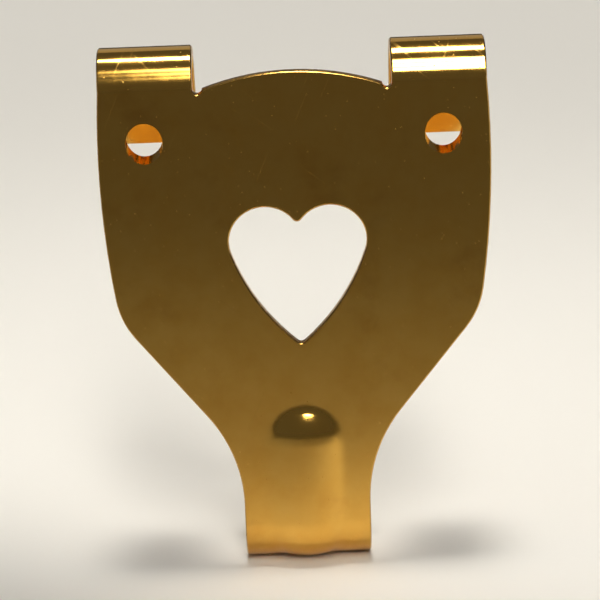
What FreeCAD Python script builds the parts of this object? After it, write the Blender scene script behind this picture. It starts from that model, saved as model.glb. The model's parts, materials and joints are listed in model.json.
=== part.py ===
"""A two-pin picture hook: one strip of brass-plated steel, stamped flat and then folded.

The frame is the wall's. The back of the plate lies on the wall plane Y = 0, the hook stands
in front of it towards -Y, Z is up and X runs across. The origin is on the wall plane, midway
between the points where the two pins leave the plate. All sizes are in millimetres.
"""
import FreeCAD
import Part
import math
import os

from FreeCAD import Vector

# Sheet
SHEET = 0.8                  # thickness of the strip
EDGE_BREAK = 0.12            # broken edges of the tumbled blank

# Plate, seen from the wall
PLATE_HALF_WIDTH = 12.65     # at the widest place of the bowed sides
SIDE_BOW_RADIUS = 62.0
WIDEST_BELOW_FOLD = 4.8      # the widest place lies this far under the flaps' fold line
SHOULDER_RADIUS = 5.5        # where a side turns into the slanting flank
FLANK_SLANT = 39.0           # degrees from upright
FLANK_END_BELOW_FOLD = 24.6  # where the flank's line meets the neck's side
CROWN_RISE = 1.0             # arch of the top edge between the flaps

# Neck, between the flanks and the hook's bend
NECK_HALF_WIDTH = 4.2
NECK_LENGTH = 4.9
NECK_STRAIGHT = 1.36         # what is left straight of it under the hollow curve from the flank

# Flaps, folded over to the front at the two top corners
FLAP_WIDTH = 6.1
FLAP_LENGTH = 6.0            # flat part beyond the fold
FLAP_FOLD_RADIUS = 2.5       # outside of the fold
FLAP_CORNER = 0.9
RELIEF_WIDTH = 0.6           # round-ended slot that frees the fold from the top edge
RELIEF_DEPTH = 0.3           # below the fold line

# Pin channels, slanting down into the wall, square to the flaps
PIN_HOLE_RADIUS = 1.2
PIN_SLOPE = 25.0             # degrees under level
PIN_OFFSET = 0.2             # outward from the flap's middle
FOLD_ABOVE_PINS = 3.4        # from the pins' exits up to the flaps' fold line

# Heart cut-out
HEART_TOP_BELOW_FOLD = 7.85
HEART_HEIGHT = 9.3
HEART_LOBE_RADIUS = 2.35
HEART_CLEFT_DEPTH = 1.35     # from the tops of the lobes down to where they meet
HEART_FLANK_RADIUS = 14.0    # bow of the flanks
HEART_POINT_ROUND = 0.35     # at the lower point and at the cleft

# Hook, folded up to the front from the neck
HOOK_BEND_RADIUS = 3.1       # outside of the bend
TONGUE_LEAN = 8.0            # degrees that the tongue leans out from upright
TONGUE_RISE = 12.75          # from the lowest point up to the tongue's tip
TONGUE_TIP_STRAIGHT = 0.6    # short straight left at the round tip

# Stiffening rib, swaged from the front through the neck and into the bend
RIB_WIDTH = 4.8
RIB_HEIGHT = 0.6
RIB_RISE = 7.9               # from the bend's start up to the rib's rounded end
RIB_BLEND = 1.5              # hollow radius at the rib's foot
RIB_ROOT = 0.1               # how far the rib's form reaches under the sheet's face
RIB_RUN_OUT = 100.0          # degrees round the bend, just past where the rib has sunk in

# Places that follow from the sizes
FOLD_Z = FOLD_ABOVE_PINS
FLANK_END_Z = FOLD_Z - FLANK_END_BELOW_FOLD
BEND_Z = FLANK_END_Z - NECK_LENGTH
WIDEST_Z = FOLD_Z - WIDEST_BELOW_FOLD
SIDE_CENTRE_X = PLATE_HALF_WIDTH - SIDE_BOW_RADIUS
CENTRE = Vector(0, 0, 0)
ACROSS = Vector(1, 0, 0)
TO_FRONT = Vector(0, -1, 0)
UP = Vector(0, 0, 1)
TOUCH = 1e-4                 # points closer than this are one point


def side_x(z):
    """Half width of the bowed side at height z."""
    return SIDE_CENTRE_X + math.sqrt(SIDE_BOW_RADIUS ** 2 - (z - WIDEST_Z) ** 2)


FLAP_OUTER_X = side_x(FOLD_Z)
FLAP_INNER_X = FLAP_OUTER_X - FLAP_WIDTH
FLAP_X = (FLAP_OUTER_X + FLAP_INNER_X) / 2
PIN_X = FLAP_X + PIN_OFFSET


def mirrored(shape):
    """The same shape on the other side of the middle plane."""
    return shape.mirror(CENTRE, ACROSS)


def prism(edges):
    """A closed outline drawn on the wall plane, as thick as the sheet."""
    return Part.Face(Part.Wire(edges)).extrude(TO_FRONT * SHEET)


def polyline(points):
    """Straight edges from each point to the next."""
    return [Part.makeLine(start, end) for start, end in zip(points, points[1:])]


def edges_across_sheet(shape, place):
    """The edges that cross the sheet at a place on the wall plane."""
    found = []
    for edge in shape.Edges:
        ends = [Vector(vertex.Point.x, 0, vertex.Point.z) for vertex in edge.Vertexes]
        if len(ends) == 2 and all(end.distanceToPoint(place) < TOUCH for end in ends):
            found.append(edge)
    return found


def shoulder_corner():
    """Where the flank's line meets the bowed side, before it is rounded."""
    slant = math.radians(FLANK_SLANT)
    flank = Vector(math.sin(slant), 0, math.cos(slant))
    foot = Vector(NECK_HALF_WIDTH, 0, FLANK_END_Z)
    from_centre = foot - Vector(SIDE_CENTRE_X, 0, WIDEST_Z)
    along = from_centre.dot(flank)
    length = math.sqrt(along ** 2 - from_centre.dot(from_centre) + SIDE_BOW_RADIUS ** 2) - along
    return foot + flank * length


def plate():
    """The shield-shaped plate, from the flaps' fold line down to the hook's bend."""
    top = Vector(FLAP_OUTER_X, 0, FOLD_Z)
    shoulder = shoulder_corner()
    flank_end = Vector(NECK_HALF_WIDTH, 0, FLANK_END_Z)
    neck_end = Vector(NECK_HALF_WIDTH, 0, BEND_Z)
    middle_z = (top.z + shoulder.z) / 2
    bow = Part.Arc(top, Vector(side_x(middle_z), 0, middle_z), shoulder).toShape()
    right = [bow] + polyline([shoulder, flank_end, neck_end])
    left = [mirrored(edge) for edge in reversed(right)]
    bottom = polyline([neck_end, Vector(-neck_end.x, 0, neck_end.z)])
    fold_line = polyline([Vector(-top.x, 0, top.z), top])
    body = prism(right + bottom + left + fold_line)
    hollow = (NECK_LENGTH - NECK_STRAIGHT) / math.tan(math.radians(FLANK_SLANT / 2))
    for radius, corner in ((SHOULDER_RADIUS, shoulder), (hollow, flank_end)):
        other = Vector(-corner.x, 0, corner.z)
        edges = edges_across_sheet(body, corner) + edges_across_sheet(body, other)
        body = body.makeFillet(radius, edges)
    return body


def crown():
    """The arched top edge between the flaps."""
    half = FLAP_INNER_X - RELIEF_WIDTH
    left = Vector(-half, 0, FOLD_Z)
    right = Vector(half, 0, FOLD_Z)
    arch = Part.Arc(left, Vector(0, 0, FOLD_Z + CROWN_RISE), right).toShape()
    return prism([arch] + polyline([right, left]))


def relief():
    """Cutter for the slot beside the right flap's fold."""
    radius = RELIEF_WIDTH / 2
    floor_z = FOLD_Z - RELIEF_DEPTH
    round_z = floor_z + radius
    over_z = FOLD_Z + CROWN_RISE
    inner_x = FLAP_INNER_X - RELIEF_WIDTH
    left = Vector(inner_x, 0, round_z)
    right = Vector(FLAP_INNER_X, 0, round_z)
    round_end = Part.Arc(left, Vector(inner_x + radius, 0, floor_z), right).toShape()
    rest = [right, Vector(FLAP_INNER_X, 0, over_z), Vector(inner_x, 0, over_z), left]
    return prism([round_end] + polyline(rest))


def folded_strip(radius, turn, flat, width, corner):
    """A strip that rises from Z = 0 on the wall plane, folds to the front and runs on flat.

    radius is the outside of the fold, turn its angle in degrees, flat the length beyond it and
    corner the rounding of the free end's two corners. The strip is centred on X = 0.
    """
    angle = math.radians(turn)
    onward = Vector(0, -math.sin(angle), math.cos(angle)) * flat
    inside = radius - SHEET

    def on_fold(distance, share):
        turned = angle * share
        return Vector(-width / 2, distance * math.cos(turned) - radius, distance * math.sin(turned))

    outer_arc = Part.Arc(on_fold(radius, 0), on_fold(radius, 0.5), on_fold(radius, 1)).toShape()
    inner_arc = Part.Arc(on_fold(inside, 1), on_fold(inside, 0.5), on_fold(inside, 0)).toShape()
    outer_end = on_fold(radius, 1) + onward
    inner_end = on_fold(inside, 1) + onward
    flat_sides = polyline([on_fold(radius, 1), outer_end, inner_end, on_fold(inside, 1)])
    start = polyline([on_fold(inside, 0), on_fold(radius, 0)])
    strip = Part.Face(Part.Wire([outer_arc] + flat_sides + [inner_arc] + start)).extrude(ACROSS * width)
    thickness = outer_end - inner_end
    tip_corners = []
    for edge in strip.Edges:
        middle = edge.CenterOfMass - (outer_end + inner_end) / 2
        at_tip = abs(middle.y) < TOUCH and abs(middle.z) < TOUCH
        if at_tip and abs(edge.Length - thickness.Length) < TOUCH:
            tip_corners.append(edge)
    return strip.makeFillet(corner, tip_corners)


def flap():
    """The right flap, square to the pin that goes through it."""
    strip = folded_strip(FLAP_FOLD_RADIUS, 180 - PIN_SLOPE, FLAP_LENGTH, FLAP_WIDTH, FLAP_CORNER)
    return strip.translated(Vector(FLAP_X, 0, FOLD_Z))


def hook():
    """The bend under the neck and the tongue that rises from it."""
    lean = math.radians(TONGUE_LEAN)
    tongue_foot = HOOK_BEND_RADIUS - (HOOK_BEND_RADIUS - SHEET / 2) * math.sin(lean)
    length = (TONGUE_RISE - tongue_foot) / math.cos(lean)
    tip_round = NECK_HALF_WIDTH - TONGUE_TIP_STRAIGHT / 2
    strip = folded_strip(HOOK_BEND_RADIUS, 180 - TONGUE_LEAN, length, 2 * NECK_HALF_WIDTH, tip_round)
    return strip.mirror(CENTRE, UP).translated(Vector(0, 0, BEND_Z))


def heart():
    """Cutter for the heart: two round lobes, and bowed flanks that run on from them to the point."""
    top_z = FOLD_Z - HEART_TOP_BELOW_FOLD
    cleft_rise = HEART_LOBE_RADIUS - HEART_CLEFT_DEPTH
    lobe_x = math.sqrt(HEART_LOBE_RADIUS ** 2 - cleft_rise ** 2)
    lobe = Vector(lobe_x, 0, top_z - HEART_LOBE_RADIUS)
    point = Vector(0, 0, top_z - HEART_HEIGHT)
    cleft = Vector(0, 0, lobe.z + cleft_rise)
    reach = lobe - point
    to_lobe = HEART_FLANK_RADIUS - HEART_LOBE_RADIUS
    along = (reach.Length ** 2 + HEART_FLANK_RADIUS ** 2 - to_lobe ** 2) / (2 * reach.Length)
    aside = math.sqrt(HEART_FLANK_RADIUS ** 2 - along ** 2)
    way = reach / reach.Length
    flank_centre = point + way * along + Vector(-way.z, 0, way.x) * aside
    touch = lobe + (lobe - flank_centre) * (HEART_LOBE_RADIUS / to_lobe)
    half_way = (touch + point) / 2 - flank_centre
    bow = flank_centre + half_way * (HEART_FLANK_RADIUS / half_way.Length)
    crest = lobe + UP * HEART_LOBE_RADIUS
    right = [Part.Arc(cleft, crest, touch).toShape(), Part.Arc(touch, bow, point).toShape()]
    cutter = prism(right + [mirrored(edge) for edge in reversed(right)])
    corners = edges_across_sheet(cutter, point) + edges_across_sheet(cutter, cleft)
    return cutter.makeFillet(HEART_POINT_ROUND, corners)


def pin_channel():
    """Cutter for the right pin's path, from behind the plate to in front of the flap."""
    slope = math.radians(PIN_SLOPE)
    way = Vector(0, -math.cos(slope), math.sin(slope))
    behind = 2 * PIN_HOLE_RADIUS
    reach = 2 * FLAP_FOLD_RADIUS + FLAP_LENGTH
    return Part.makeCylinder(PIN_HOLE_RADIUS, behind + reach, Vector(PIN_X, 0, 0) - way * behind, way)


def rib_form(inset):
    """The rib's rounded form, taken in by inset from its outer face.

    Across, it is an arc. Its top end is a dome. Below, it turns with the bend's own radius about
    an axis set back by its height, so that it has sunk into the bend at the lowest point.
    """
    half = RIB_WIDTH / 2
    section = (half ** 2 + RIB_HEIGHT ** 2) / (2 * RIB_HEIGHT)
    axis_y = RIB_HEIGHT - section
    radius = section - inset
    root_y = -inset - RIB_ROOT
    crest_y = RIB_HEIGHT - inset
    straight = RIB_RISE - half
    bar = Part.makeCylinder(radius, straight, Vector(0, axis_y, BEND_Z), UP)
    dome = Part.makeSphere(radius, Vector(0, axis_y, BEND_Z + straight))
    slab = Part.makeBox(RIB_WIDTH, crest_y - root_y, RIB_RISE, Vector(-half, root_y, BEND_Z))
    root_half = math.sqrt(radius ** 2 - (root_y - axis_y) ** 2)
    left = Vector(-root_half, root_y, BEND_Z)
    right = Vector(root_half, root_y, BEND_Z)
    arc = Part.Arc(left, Vector(0, crest_y, BEND_Z), right).toShape()
    segment = Part.Face(Part.Wire([arc] + polyline([right, left])))
    turn_centre = Vector(0, RIB_HEIGHT - HOOK_BEND_RADIUS, BEND_Z)
    turned = segment.revolve(turn_centre, -ACROSS, RIB_RUN_OUT)
    return bar.fuse(dome).common(slab).fuse(turned)


def neighbours(shape, edge):
    """The faces that meet at an edge."""
    return [face for face in shape.Faces if any(other.isSame(edge) for other in face.Edges)]


def is_rib_face(face):
    """Whether a face belongs to the rib: it lies within the rib's width, on the neck or the bend."""
    box = face.BoundBox
    within = box.XMax < RIB_WIDTH / 2 + TOUCH and box.XMin > -RIB_WIDTH / 2 - TOUCH
    return within and abs(box.XMax + box.XMin) < TOUCH and box.ZMax < BEND_Z + RIB_RISE + TOUCH


def rib_foot(shape):
    """The edges where the rib leaves the sheet, on both faces."""
    feet = []
    for edge in shape.Edges:
        sides = [is_rib_face(face) for face in neighbours(shape, edge)]
        if sides.count(True) == 1 and sides.count(False) == 1:
            feet.append(edge)
    return feet


def is_pin_wall(face):
    """Whether a face is the round wall of a pin channel."""
    return isinstance(face.Surface, Part.Cylinder) and abs(face.Surface.Radius - PIN_HOLE_RADIUS) < TOUCH


def blank_edges(shape):
    """The square edges of the stamped blank, apart from the pin channels' own."""
    square = []
    for edge in shape.Edges:
        faces = neighbours(shape, edge)
        if len(faces) != 2 or any(is_pin_wall(face) for face in faces):
            continue
        place = edge.valueAt((edge.FirstParameter + edge.LastParameter) / 2)
        one, other = [face.normalAt(*face.Surface.parameter(place)) for face in faces]
        crosses_sheet = abs(edge.Length - SHEET) < TOUCH
        if abs(one.dot(other)) < 0.1 and not crosses_sheet:
            square.append(edge)
    return square


def picture_hook():
    """The whole hook as one solid."""
    body = plate().fuse([crown(), flap(), mirrored(flap()), hook()])
    body = body.cut([relief(), mirrored(relief()), heart(), pin_channel(), mirrored(pin_channel())])
    body = body.removeSplitter()
    body = body.fuse(rib_form(0)).cut(rib_form(SHEET)).removeSplitter()
    body = body.makeFillet(RIB_BLEND, rib_foot(body))
    return body.makeChamfer(EDGE_BREAK, blank_edges(body))


if __name__ == "__main__":
    os.makedirs("parts", exist_ok=True)
    solid = picture_hook().Solids[0]
    print("valid", solid.isValid(), "volume", round(solid.Volume, 2), "mm3")
    solid.exportStep("parts/hook_plate.step")
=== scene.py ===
"""Brass-plated picture hook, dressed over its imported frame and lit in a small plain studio.

Metres throughout, apart from the finish's patterns, which are in millimetres. The frame is that of
the construction model: the wall plane is y = 0, the back of the hook looks to +Y, its front to -Y,
and +Z is up. The main view is from the back.
"""

import json
import logging
import math
from dataclasses import dataclass
from enum import Enum

import bmesh
import bpy
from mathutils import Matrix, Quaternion, Vector

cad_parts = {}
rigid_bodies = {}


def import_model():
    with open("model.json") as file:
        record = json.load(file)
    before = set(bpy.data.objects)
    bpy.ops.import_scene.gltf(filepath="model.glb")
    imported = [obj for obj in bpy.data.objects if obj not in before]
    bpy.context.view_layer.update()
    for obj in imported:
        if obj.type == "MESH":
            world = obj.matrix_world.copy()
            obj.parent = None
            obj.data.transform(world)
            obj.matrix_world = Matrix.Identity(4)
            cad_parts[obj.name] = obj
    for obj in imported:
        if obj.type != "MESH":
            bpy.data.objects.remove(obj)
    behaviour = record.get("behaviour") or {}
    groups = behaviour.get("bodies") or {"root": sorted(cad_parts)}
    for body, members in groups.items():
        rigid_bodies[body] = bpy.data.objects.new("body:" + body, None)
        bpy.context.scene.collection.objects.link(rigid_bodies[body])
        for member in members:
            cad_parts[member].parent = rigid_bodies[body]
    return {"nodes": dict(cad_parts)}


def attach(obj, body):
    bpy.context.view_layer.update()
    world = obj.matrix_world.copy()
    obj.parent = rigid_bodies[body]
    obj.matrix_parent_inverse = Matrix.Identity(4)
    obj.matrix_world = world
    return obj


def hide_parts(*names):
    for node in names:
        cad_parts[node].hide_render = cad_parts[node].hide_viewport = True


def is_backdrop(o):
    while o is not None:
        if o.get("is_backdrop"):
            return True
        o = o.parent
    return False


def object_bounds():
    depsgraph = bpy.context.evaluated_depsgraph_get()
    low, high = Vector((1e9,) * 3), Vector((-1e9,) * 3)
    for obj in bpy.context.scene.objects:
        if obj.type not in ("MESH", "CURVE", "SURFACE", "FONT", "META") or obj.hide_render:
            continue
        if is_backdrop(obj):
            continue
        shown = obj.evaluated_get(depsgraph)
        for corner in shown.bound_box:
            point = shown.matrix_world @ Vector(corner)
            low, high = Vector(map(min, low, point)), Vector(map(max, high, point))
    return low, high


MILLIMETRE = 0.001
NORMAL_LAYER = "rounded_normal"
SHEARED_LAYER = "sheared"

# Sockets of a node that mixes two colours
MIX_SHARE = 0
MIX_FIRST = 6
MIX_SECOND = 7
MIX_RESULT = 2

log = logging.getLogger("picture_hook")


class Grain(Enum):
    """Patterns of the brass finish, each with its size in millimetres."""

    WAVE = 3.2
    CLOUD = 2.4
    SPECK = 0.55
    TARNISH = 6.0
    SHEAR = 0.12
    # Real rolling lines are some hundredths of a millimetre apart; these are coarser, so that they show
    LINE = 0.16
    # Real rubbing marks are a few micrometres wide; these are coarser too, so that they show
    MARK = 0.22


def linear(colour: str) -> tuple[float, float, float, float]:
    """Turn an sRGB hex colour into the linear values that a shader socket takes.

    Args:
        colour: Colour as "#RRGGBB".

    Returns:
        Red, green, blue and an alpha of one.
    """
    channels = []
    for start in (1, 3, 5):
        share = int(colour[start:start + 2], 16) / 255
        channels.append(share / 12.92 if share <= 0.04045 else ((share + 0.055) / 1.055) ** 2.4)
    return channels[0], channels[1], channels[2], 1.0


def add_node(
    tree: bpy.types.NodeTree,
    kind: str,
    sockets: dict[int | str, object] | None = None,
    **fields: object,
) -> bpy.types.Node:
    """Add one node, set its fields, and feed its sockets.

    Args:
        tree: Node tree that takes the node.
        kind: Blender's name for the node's type.
        sockets: For a socket's name or number, a constant or the output that feeds it.
        fields: Fields of the node, such as its operation.

    Returns:
        The new node.
    """
    node = tree.nodes.new(kind)
    for name, value in fields.items():
        setattr(node, name, value)
    for socket, value in (sockets or {}).items():
        if isinstance(value, bpy.types.NodeSocket):
            tree.links.new(value, node.inputs[socket])
        else:
            node.inputs[socket].default_value = value
    return node


def per_metre(size_mm: float) -> float:
    """Scale of a pattern whose features are this many millimetres apart."""
    return 1 / (size_mm * MILLIMETRE)


def new_material(name: str) -> tuple[bpy.types.Material, bpy.types.NodeTree]:
    """Make an empty node material.

    Args:
        name: Name of the material.

    Returns:
        The material and its cleared node tree.
    """
    material = bpy.data.materials.new(name)
    material.use_nodes = True
    material.node_tree.nodes.clear()
    return material, material.node_tree


def direction(azimuth: float, elevation: float) -> Vector:
    """Unit vector from the object towards a place round it.

    Args:
        azimuth: Degrees; 0 is the -Y side and 90 the +X side.
        elevation: Degrees above the horizon.

    Returns:
        The unit vector.
    """
    turn = math.radians(azimuth)
    rise = math.radians(elevation)
    flat = math.cos(rise)
    return Vector((math.sin(turn) * flat, -math.cos(turn) * flat, math.sin(rise)))


@dataclass(frozen=True)
class BrassPlating:
    """Bright brass plate over pressed steel sheet."""

    bright: str = "#EFC062"
    clouded: str = "#DDA646"
    tarnish: str = "#B5772C"
    sheared: str = "#D2A35A"
    tarnish_share: float = 0.35

    # Roughness of the polish, and what dust, rubbing marks and cut edges add to it
    smoothest: float = 0.06
    dullest: float = 0.16
    dust_dulling: float = 0.25
    mark_dulling: float = 0.11
    shear_dulling: float = 0.16

    # Values of a pattern between which it comes in
    tarnish_band: tuple[float, float] = (0.52, 0.78)
    polish_band: tuple[float, float] = (0.3, 0.75)
    dust_band: tuple[float, float] = (0.05, 0.11)
    mark_band: tuple[float, float] = (0.70, 0.76)

    # Heights of the relief and lengths of lines and marks, in millimetres; slants in degrees
    wave_height: float = 0.004
    line_height: float = 0.0006
    tear_height: float = 0.006
    line_length: float = 9.0
    mark_depth: float = 3.0
    mark_length: float = 7.0
    mark_slants: tuple[float, float] = (24.0, -52.0)

    def material(self) -> bpy.types.Material:
        """Build the finish.

        Returns:
            Metal with cloudy polish and tarnish, dust, rubbing marks, a slight relief and torn cut edges.
        """
        # Electroplated and tumbled: a warm mirror, a little clouded, whose reflections waver with the sheet
        material, tree = new_material("bright_brass_plating")
        place = add_node(tree, "ShaderNodeTexCoord").outputs["Object"]
        shader = add_node(tree, "ShaderNodeBsdfPrincipled", {
            "Base Color": self._colour(tree, place),
            "Metallic": 1.0,
            "Roughness": self._roughness(tree, place),
            "Normal": self._relief(tree, place),
        })
        add_node(tree, "ShaderNodeOutputMaterial", {"Surface": shader.outputs["BSDF"]})
        return material

    def _colour(self, tree: bpy.types.NodeTree, place: bpy.types.NodeSocket) -> bpy.types.NodeSocket:
        """Mix the colour out of fresh, clouded and tarnished plating, and of the cut edges' metal.

        Args:
            tree: Node tree of the finish.
            place: Coordinates on the piece, in metres.

        Returns:
            Output with the colour.
        """
        cloud = add_node(tree, "ShaderNodeTexNoise", {
            "Vector": place, "Scale": per_metre(Grain.CLOUD.value), "Detail": 4.0, "Roughness": 0.6,
        })
        clear = add_node(tree, "ShaderNodeMix", {
            MIX_SHARE: cloud.outputs["Fac"],
            MIX_FIRST: linear(self.bright),
            MIX_SECOND: linear(self.clouded),
        }, data_type="RGBA")
        patch = add_node(tree, "ShaderNodeTexNoise", {
            "Vector": place, "Scale": per_metre(Grain.TARNISH.value), "Detail": 5.0, "Roughness": 0.65,
        })
        share = add_node(tree, "ShaderNodeMapRange", {
            "Value": patch.outputs["Fac"],
            "From Min": self.tarnish_band[0], "From Max": self.tarnish_band[1],
            "To Min": 0.0, "To Max": self.tarnish_share,
        }, interpolation_type="SMOOTHSTEP")
        aged = add_node(tree, "ShaderNodeMix", {
            MIX_SHARE: share.outputs["Result"],
            MIX_FIRST: clear.outputs[MIX_RESULT],
            MIX_SECOND: linear(self.tarnish),
        }, data_type="RGBA")
        torn = add_node(tree, "ShaderNodeMix", {
            MIX_SHARE: self._sheared(tree),
            MIX_FIRST: aged.outputs[MIX_RESULT],
            MIX_SECOND: linear(self.sheared),
        }, data_type="RGBA")
        return torn.outputs[MIX_RESULT]

    @staticmethod
    def _sheared(tree: bpy.types.NodeTree) -> bpy.types.NodeSocket:
        """Output that is one on the sheet's cut edges and nought on its faces."""
        return add_node(tree, "ShaderNodeAttribute", attribute_name=SHEARED_LAYER).outputs["Fac"]

    def _roughness(self, tree: bpy.types.NodeTree, place: bpy.types.NodeSocket) -> bpy.types.NodeSocket:
        """Vary the polish in soft clouds, and dull it by dust, rubbing marks and torn edges.

        Args:
            tree: Node tree of the finish.
            place: Coordinates on the piece, in metres.

        Returns:
            Output with the roughness.
        """
        cloud = add_node(tree, "ShaderNodeTexNoise", {
            "Vector": place, "Scale": per_metre(Grain.CLOUD.value), "Detail": 6.0, "Roughness": 0.7,
        })
        polish = add_node(tree, "ShaderNodeMapRange", {
            "Value": cloud.outputs["Fac"],
            "From Min": self.polish_band[0], "From Max": self.polish_band[1],
            "To Min": self.smoothest, "To Max": self.dullest,
        })
        grit = add_node(tree, "ShaderNodeTexVoronoi", {
            "Vector": place, "Scale": per_metre(Grain.SPECK.value), "Randomness": 1.0,
        })
        speck = add_node(tree, "ShaderNodeMapRange", {
            "Value": grit.outputs["Distance"],
            "From Min": self.dust_band[0], "From Max": self.dust_band[1],
            "To Min": self.dust_dulling, "To Max": 0.0,
        })
        dusty = add_node(tree, "ShaderNodeMath", {
            0: polish.outputs["Result"], 1: speck.outputs["Result"],
        }, operation="ADD")
        marked = add_node(tree, "ShaderNodeMath", {
            0: self._marks(tree, place), 1: self.mark_dulling, 2: dusty.outputs["Value"],
        }, operation="MULTIPLY_ADD")
        total = add_node(tree, "ShaderNodeMath", {
            0: self._sheared(tree), 1: self.shear_dulling, 2: marked.outputs["Value"],
        }, operation="MULTIPLY_ADD")
        return total.outputs["Value"]

    def _marks(self, tree: bpy.types.NodeTree, place: bpy.types.NodeSocket) -> bpy.types.NodeSocket:
        """Draw fine rubbing marks in two slanting directions.

        Args:
            tree: Node tree of the finish.
            place: Coordinates on the piece, in metres.

        Returns:
            Output that is one on a mark and nought off it.
        """
        marks = []
        sizes = (Grain.MARK.value, self.mark_depth, self.mark_length)
        for slant in self.mark_slants:
            turned = add_node(tree, "ShaderNodeVectorRotate", {
                "Vector": place, "Angle": math.radians(slant),
            }, rotation_type="Y_AXIS")
            drawn = add_node(tree, "ShaderNodeMapping", {
                "Vector": turned.outputs["Vector"], "Scale": tuple(per_metre(size) for size in sizes),
            })
            noise = add_node(tree, "ShaderNodeTexNoise", {
                "Vector": drawn.outputs["Vector"], "Scale": 1.0, "Detail": 1.0,
            })
            marks.append(add_node(tree, "ShaderNodeMapRange", {
                "Value": noise.outputs["Fac"],
                "From Min": self.mark_band[0], "From Max": self.mark_band[1],
            }).outputs["Result"])
        either = add_node(tree, "ShaderNodeMath", {0: marks[0], 1: marks[1]}, operation="MAXIMUM")
        return either.outputs["Value"]

    def _relief(self, tree: bpy.types.NodeTree, place: bpy.types.NodeSocket) -> bpy.types.NodeSocket:
        """Give the mirror the slight unevenness of pressed and rolled sheet.

        Args:
            tree: Node tree of the finish.
            place: Coordinates on the piece, in metres.

        Returns:
            Output with the shading normal.
        """
        wave = add_node(tree, "ShaderNodeTexNoise", {
            "Vector": place, "Scale": per_metre(Grain.WAVE.value), "Detail": 1.0,
        })
        swell = add_node(tree, "ShaderNodeBump", {
            "Height": wave.outputs["Fac"], "Strength": 1.0, "Distance": self.wave_height * MILLIMETRE,
        })
        across = per_metre(Grain.LINE.value)
        stretched = add_node(tree, "ShaderNodeMapping", {
            "Vector": place, "Scale": (across, across, per_metre(self.line_length)),
        })
        line = add_node(tree, "ShaderNodeTexNoise", {
            "Vector": stretched.outputs["Vector"], "Scale": 1.0, "Detail": 2.0,
        })
        rolled = add_node(tree, "ShaderNodeBump", {
            "Height": line.outputs["Fac"], "Strength": 1.0, "Distance": self.line_height * MILLIMETRE,
            "Normal": swell.outputs["Normal"],
        })
        # The cut edges are torn by the punch, so they are rougher than the rolled faces
        tear = add_node(tree, "ShaderNodeTexNoise", {
            "Vector": place, "Scale": per_metre(Grain.SHEAR.value), "Detail": 3.0,
        })
        torn = add_node(tree, "ShaderNodeBump", {
            "Height": tear.outputs["Fac"], "Strength": self._sheared(tree),
            "Distance": self.tear_height * MILLIMETRE, "Normal": rolled.outputs["Normal"],
        })
        return torn.outputs["Normal"]


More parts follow.
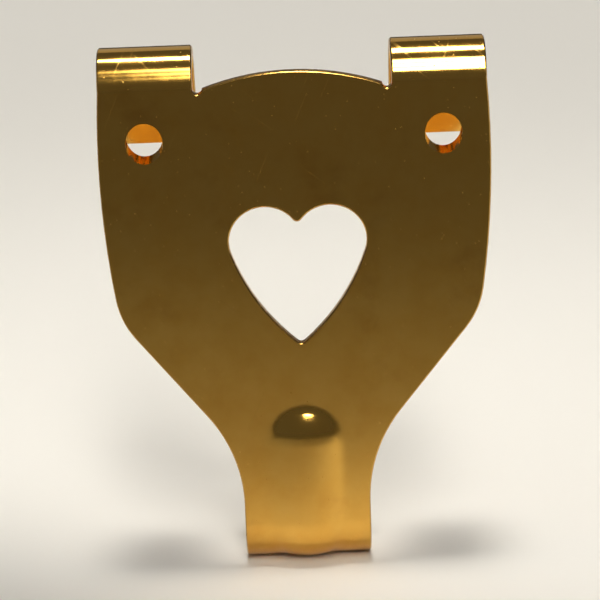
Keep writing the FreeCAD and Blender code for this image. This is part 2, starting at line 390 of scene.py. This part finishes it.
@dataclass
class HookPlate:
    """The hook: one folded sheet with nail flaps, a heart window, a ribbed neck and a hook."""

    node: str
    body: str
    slot: str
    finish: BrassPlating
    weld: float = 0.002 * MILLIMETRE
    narrow: float = 0.2 * MILLIMETRE
    thickness: float = 0.8 * MILLIMETRE

    # How far a cut edge and a broken one show the punch's tearing
    cut_tear: float = 1.0
    broken_tear: float = 0.5

    def build(self, nodes: dict[str, bpy.types.Object]) -> bpy.types.Object:
        """Rebuild the sheet's mesh with its broken edges shaded as rounded ones.

        Args:
            nodes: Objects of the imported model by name.

        Returns:
            The new piece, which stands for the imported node.
        """
        source = nodes[self.node].data
        shape = bmesh.new()
        shape.from_mesh(source)
        layer = shape.loops.layers.float_vector.new(NORMAL_LAYER)
        corners = iter(source.corner_normals)
        for face in shape.faces:
            for loop in face.loops:
                loop[layer] = next(corners).vector
        self._round_edges(shape, layer)
        bmesh.ops.remove_doubles(shape, verts=shape.verts, dist=self.weld)
        for face in shape.faces:
            face.smooth = True
        mesh = bpy.data.meshes.new("hook_sheet")
        shape.to_mesh(mesh)
        shape.free()
        normals = [corner.vector.copy() for corner in mesh.attributes[NORMAL_LAYER].data]
        mesh.attributes.remove(mesh.attributes[NORMAL_LAYER])
        mesh.normals_split_custom_set(normals)
        piece = bpy.data.objects.new("hook_sheet", mesh)
        bpy.context.scene.collection.objects.link(piece)
        return piece

    def _round_edges(self, shape: bmesh.types.BMesh, layer: bmesh.types.BMLayerItem) -> None:
        """Shade each broken edge as a round from one neighbour to the other, and mark the cut edges.

        Args:
            shape: The sheet, in which each face of the construction model is a patch of its own.
            layer: Corner layer with the shading directions.
        """
        sheared = shape.faces.layers.float.new(SHEARED_LAYER)
        patches = self._patches(shape)
        broken = [face for patch in patches if self._width(patch) < self.narrow for face in patch]
        broken_spots = {self._spot(vert.co) for face in broken for vert in face.verts}
        wide: dict[tuple[float, ...], Vector] = {}
        for patch in patches:
            width = self._width(patch)
            if width < self.narrow:
                continue
            spots = {self._spot(vert.co) for face in patch for vert in face.verts}
            cut = width < self.thickness and spots <= broken_spots
            for face in patch:
                face[sheared] = self.cut_tear if cut else 0.0
                for loop in face.loops:
                    spot = self._spot(loop.vert.co)
                    wide[spot] = wide.get(spot, Vector()) + loop[layer]
        for face in broken:
            face[sheared] = self.broken_tear
            for loop in face.loops:
                spot = self._spot(loop.vert.co)
                if spot in wide:
                    loop[layer] = wide[spot].normalized()

    def _spot(self, point: Vector) -> tuple[float, ...]:
        """Place of a vertex as a key, to within the welding distance."""
        return tuple(round(value / self.weld) for value in point)

    @staticmethod
    def _patches(shape: bmesh.types.BMesh) -> list[list[bmesh.types.BMFace]]:
        """Find the sets of faces that hang together.

        Args:
            shape: The sheet before it is welded.

        Returns:
            One list of faces for each patch.
        """
        seen: set[bmesh.types.BMFace] = set()
        patches = []
        for first in shape.faces:
            if first in seen:
                continue
            seen.add(first)
            patch = [first]
            for face in patch:
                near = {other for edge in face.edges for other in edge.link_faces} - seen
                seen |= near
                patch.extend(near)
            patches.append(patch)
        return patches

    @staticmethod
    def _width(patch: list[bmesh.types.BMFace]) -> float:
        """Mean width of a long patch: its area over half of its rim.

        Args:
            patch: Faces of the patch.

        Returns:
            The width in metres.
        """
        area = sum(face.calc_area() for face in patch)
        rim = sum(edge.calc_length() for face in patch for edge in face.edges if edge.is_boundary)
        return 2 * area / rim

    def dress(self, piece: bpy.types.Object) -> None:
        """Give the piece its finish and its place in the frame.

        Args:
            piece: The built sheet.
        """
        piece.data.materials.clear()
        piece.data.materials.append(self.finish.material())
        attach(piece, self.body)
        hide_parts(self.node)


@dataclass(frozen=True)
class Softbox:
    """One rectangular studio lamp; a spread under 180 degrees is that of a grid in front of it."""

    name: str
    place: tuple[float, float, float]
    aim: tuple[float, float, float]
    width: float
    height: float
    level: float
    spread: float
    turn: float = 0.0
    tint: str = "#FFFBF2"

    def build(self) -> None:
        """Hang the lamp; its level is the light that it lays on a white sheet close to it."""
        lamp = bpy.data.lights.new(self.name, "AREA")
        lamp.shape = "RECTANGLE"
        lamp.size = self.width
        lamp.size_y = self.height
        lamp.color = linear(self.tint)[:3]
        lamp.energy = self.level * math.pi * self.width * self.height
        lamp.spread = math.radians(self.spread)
        holder = bpy.data.objects.new(self.name, lamp)
        holder.location = self.place
        holder.rotation_mode = "QUATERNION"
        pointing = (Vector(self.aim) - Vector(self.place)).to_track_quat("-Z", "Y")
        holder.rotation_quaternion = pointing @ Quaternion((0.0, 0.0, 1.0), math.radians(self.turn))
        bpy.context.scene.collection.objects.link(holder)


@dataclass(frozen=True)
class StripStack:
    """Lamps one above another on the camera's side, each pointed at the rolls of the flaps."""

    name: str
    elevations: tuple[float, ...]
    azimuth: float = 186.0
    distance: float = 0.45
    rolls: tuple[float, float, float] = (0.0, -0.002, 0.005)
    width: float = 0.14
    height: float = 0.096
    level: float = 0.20
    spread: float = 16.0

    def lamps(self) -> list[Softbox]:
        """Make one lamp for each elevation.

        Returns:
            The lamps, which are not hung yet.
        """
        strips = []
        for elevation in self.elevations:
            place = Vector(self.rolls) + direction(self.azimuth, elevation) * self.distance
            strips.append(Softbox(
                f"{self.name}_{elevation:.0f}", tuple(place), self.rolls,
                self.width, self.height, self.level, self.spread,
            ))
        return strips


@dataclass
class Studio:
    """Plain pale floor and soft lamps in an evenly dim room."""

    lamps: tuple[Softbox, ...]
    floor_pale: str = "#F1EFEB"
    floor_half: float = 1.5
    paper_roughness: float = 0.9
    paper_shine: float = 0.1
    fibre: float = 0.8
    fibre_height: float = 0.02
    fibre_strength: float = 0.2
    sky: str = "#F6F3EE"
    sky_level: float = 0.11

    def build(self, floor_height: float) -> None:
        """Set up floor, sky and lamps round the hook.

        Args:
            floor_height: Height of the hook's lowest point.
        """
        self._floor(floor_height)
        self._sky()
        for lamp in self.lamps:
            lamp.build()
            log.info("lamp %s", lamp.name)

    def _floor(self, height: float) -> None:
        """Lay the floor that the hook stands on.

        Args:
            height: Height of the floor.
        """
        half = self.floor_half
        corners = [(x, y, height) for x, y in ((-half, -half), (half, -half), (half, half), (-half, half))]
        mesh = bpy.data.meshes.new("floor")
        mesh.from_pydata(corners, [], [(0, 1, 2, 3)])
        floor = bpy.data.objects.new("floor", mesh)
        bpy.context.scene.collection.objects.link(floor)
        mesh.materials.append(self._paper())
        floor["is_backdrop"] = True

    def _paper(self) -> bpy.types.Material:
        """Make plain studio paper.

        Returns:
            Matt pale paper with a faint fibre.
        """
        # Uncoated paper: it takes soft shadows and has hardly any shine
        material, tree = new_material("studio_paper")
        place = add_node(tree, "ShaderNodeTexCoord").outputs["Object"]
        fibre = add_node(tree, "ShaderNodeTexNoise", {
            "Vector": place, "Scale": per_metre(self.fibre), "Detail": 3.0,
        })
        press = add_node(tree, "ShaderNodeBump", {
            "Height": fibre.outputs["Fac"], "Strength": self.fibre_strength,
            "Distance": self.fibre_height * MILLIMETRE,
        })
        shader = add_node(tree, "ShaderNodeBsdfPrincipled", {
            "Base Color": linear(self.floor_pale), "Roughness": self.paper_roughness,
            "Specular IOR Level": self.paper_shine, "Normal": press.outputs["Normal"],
        })
        add_node(tree, "ShaderNodeOutputMaterial", {"Surface": shader.outputs["BSDF"]})
        return material

    def _sky(self) -> None:
        """Give the scene the even light of a dim room."""
        world = bpy.data.worlds.new("studio_sky")
        world.use_nodes = True
        tree = world.node_tree
        tree.nodes.clear()
        glow = add_node(tree, "ShaderNodeBackground", {
            "Color": linear(self.sky), "Strength": self.sky_level,
        })
        add_node(tree, "ShaderNodeOutputWorld", {"Surface": glow.outputs["Background"]})
        bpy.context.scene.world = world


@dataclass(frozen=True)
class Viewpoint:
    """The photograph's direction of view, from behind and a little above, with a slight roll."""

    azimuth: float = 180.0
    elevation: float = 15.0
    roll: float = -2.17
    lens: float = 150.0
    sensor: float = 36.0
    frame_width: float = 40.0 * MILLIMETRE
    nearest: float = 0.01
    farthest: float = 10.0

    def build(self, low: Vector, high: Vector) -> None:
        """Place the camera, and show colours without a film curve.

        Args:
            low: Lowest corner of the hook.
            high: Highest corner of the hook.
        """
        back = direction(self.azimuth, self.elevation)
        camera = bpy.data.cameras.new("camera")
        camera.lens = self.lens
        camera.sensor_width = self.sensor
        camera.clip_start = self.nearest
        camera.clip_end = self.farthest
        holder = bpy.data.objects.new("camera", camera)
        holder.location = (low + high) / 2 + back * (self.frame_width * self.lens / self.sensor)
        holder.rotation_mode = "QUATERNION"
        roll = Quaternion((0.0, 0.0, 1.0), math.radians(self.roll))
        holder.rotation_quaternion = (-back).to_track_quat("-Z", "Y") @ roll
        bpy.context.scene.collection.objects.link(holder)
        bpy.context.scene.camera = holder
        bpy.context.scene.view_settings.view_transform = "Standard"


def clear_scene() -> None:
    """Take away whatever the start-up scene holds."""
    for item in list(bpy.data.objects):
        bpy.data.objects.remove(item, do_unlink=True)


def main() -> None:
    """Load the frame, build and dress the hook, and set up the studio round it."""
    logging.basicConfig(level=logging.INFO, format="%(name)s: %(message)s")
    clear_scene()
    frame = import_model()
    cad_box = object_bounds()

    hook = HookPlate(node="hook_plate", body="root", slot="brass_plating", finish=BrassPlating())
    piece = hook.build(frame["nodes"])
    hook.dress(piece)
    log.info("piece %s: %d faces", piece.name, len(piece.data.polygons))

    # The panel's near edge hangs about 12 mm to the camera's side of the hook, so the floor beyond it,
    # which the back mirrors, stays dim; its other edges lie far out, where few views show them
    ceiling_panel = Softbox(
        name="ceiling_panel", place=(0.0, -0.578, 0.10), aim=(0.0, -0.578, 0.0),
        width=1.80, height=1.00, level=0.62, spread=18.0, turn=-32.0,
    )
    front_fill = Softbox(
        name="front_fill", place=(0.0, -0.42, 0.29), aim=(0.0, 0.0, -0.01),
        width=0.40, height=0.26, level=0.30, spread=180.0,
    )
    roll_strips = StripStack(name="roll_strip", elevations=(28.0, 40.0, 52.0))
    Studio(lamps=(ceiling_panel, front_fill, *roll_strips.lamps())).build(cad_box[0].z)
    Viewpoint().build(*cad_box)


if __name__ == "__main__":
    main()
